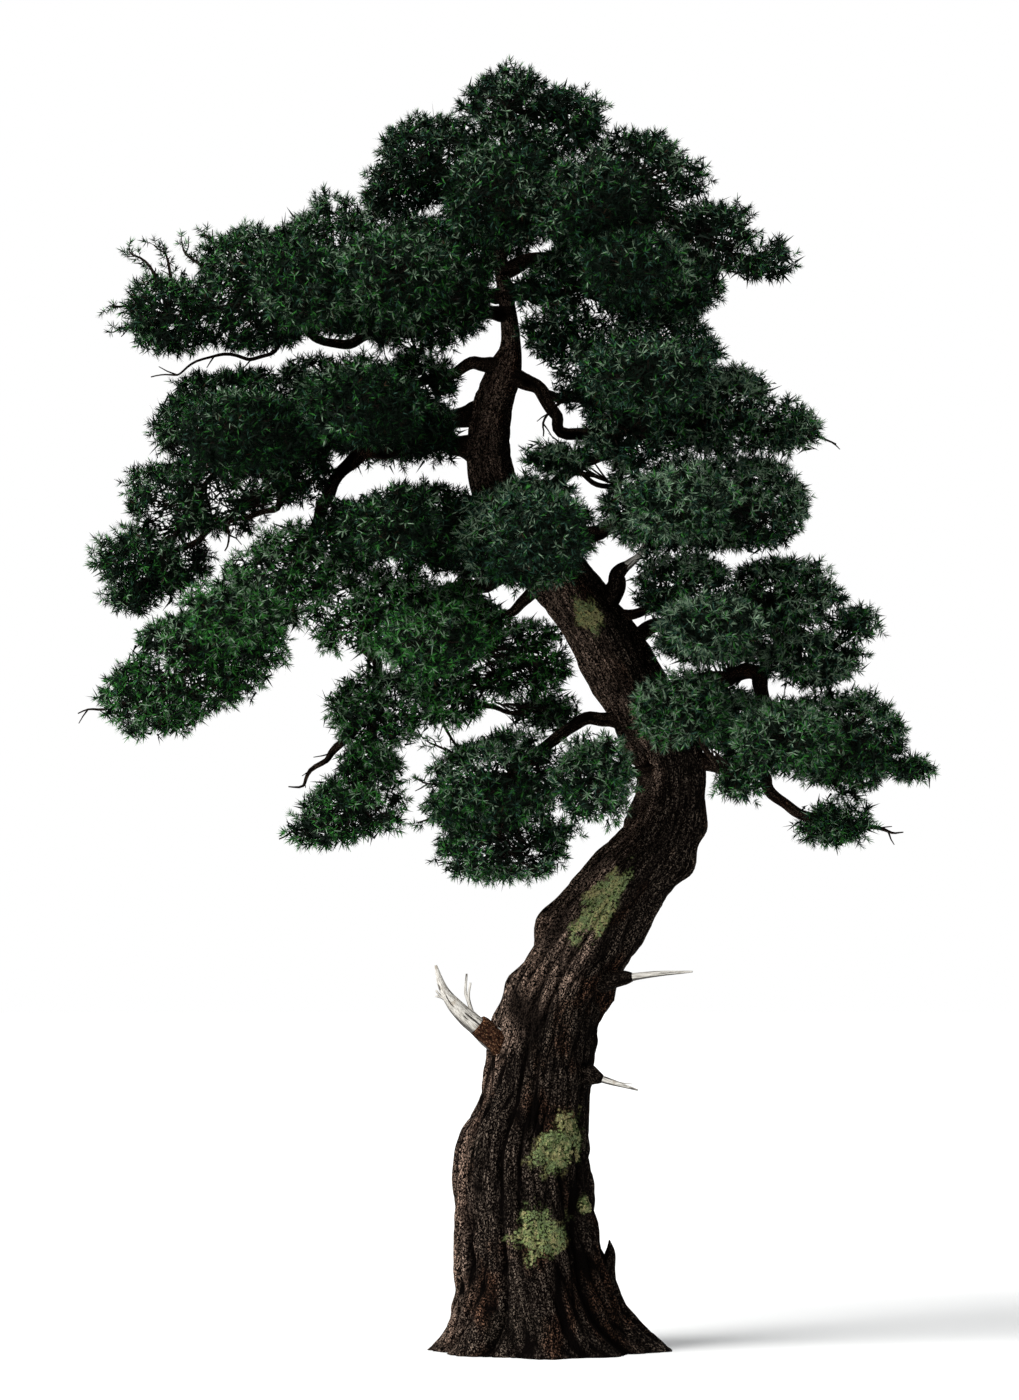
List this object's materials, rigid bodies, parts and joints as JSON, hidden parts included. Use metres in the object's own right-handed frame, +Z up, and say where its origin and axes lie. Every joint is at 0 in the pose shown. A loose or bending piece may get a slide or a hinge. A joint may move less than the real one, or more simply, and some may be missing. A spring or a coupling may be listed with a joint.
{
  "type": "pine tree",
  "caption": "Old pine tree with an S-shaped trunk, flared roots, spreading boughs, layered pads of needles and weathered dead limbs.",
  "frame": {"origin": "middle of the flat cut at ground level under the trunk", "axes": "+Z up along the height, +X to the right of the tree's show side, +Y away from it"},
  "size_m": [8.0324, 5.7498, 12.0242],
  "materials": {
    "bark": "deeply furrowed dark brown bark with lichen",
    "dead_wood": "bare weathered grey wood",
    "needles": "dark green needles on thin brown twigs"
  },
  "bodies": {
    "root": {"bough_back_low": "bark", "bough_crown_right": "bark", "bough_fan_back": "bark", "bough_fan_inner": "bark", "bough_fan_outer": "bark", "bough_hanging_left": "bark", "bough_left_low": "bark", "bough_lower_left": "bark", "bough_right_fork": "bark", "bough_right_fork_outer": "bark", "bough_right_low": "bark", "bough_right_low_tip": "bark", "bough_right_mid": "bark", "bough_right_shelf_outer": "bark", "bough_shelf_back": "bark", "bough_shelf_inner": "bark", "bough_shelf_outer": "bark", "dead_left": "dead_wood", "dead_right_high": "dead_wood", "dead_right_low": "dead_wood", "dead_upper": "dead_wood", "mass_back_low": "needles", "mass_centre_left": "needles", "mass_centre_low": "needles", "mass_crown_back": "needles", "mass_crown_front": "needles", "mass_crown_left": "needles", "mass_crown_low": "needles", "mass_crown_right": "needles", "mass_crown_tip": "needles", "mass_fan_back": "needles", "mass_fan_inner": "needles", "mass_fan_outer": "needles", "mass_fork_back": "needles", "mass_front_centre": "needles", "mass_hanging_left": "needles", "mass_left_low": "needles", "mass_lower_inner": "needles", "mass_lower_left": "needles", "mass_mid_back": "needles", "mass_right_fork": "needles", "mass_right_fork_outer": "needles", "mass_right_low": "needles", "mass_right_low_front": "needles", "mass_right_low_tip": "needles", "mass_right_mid": "needles", "mass_right_shelf": "needles", "mass_right_shelf_outer": "needles", "mass_shelf_back": "needles", "mass_shelf_inner": "needles", "mass_shelf_outer": "needles", "trunk": "bark"}
  },
  "joints": []
}
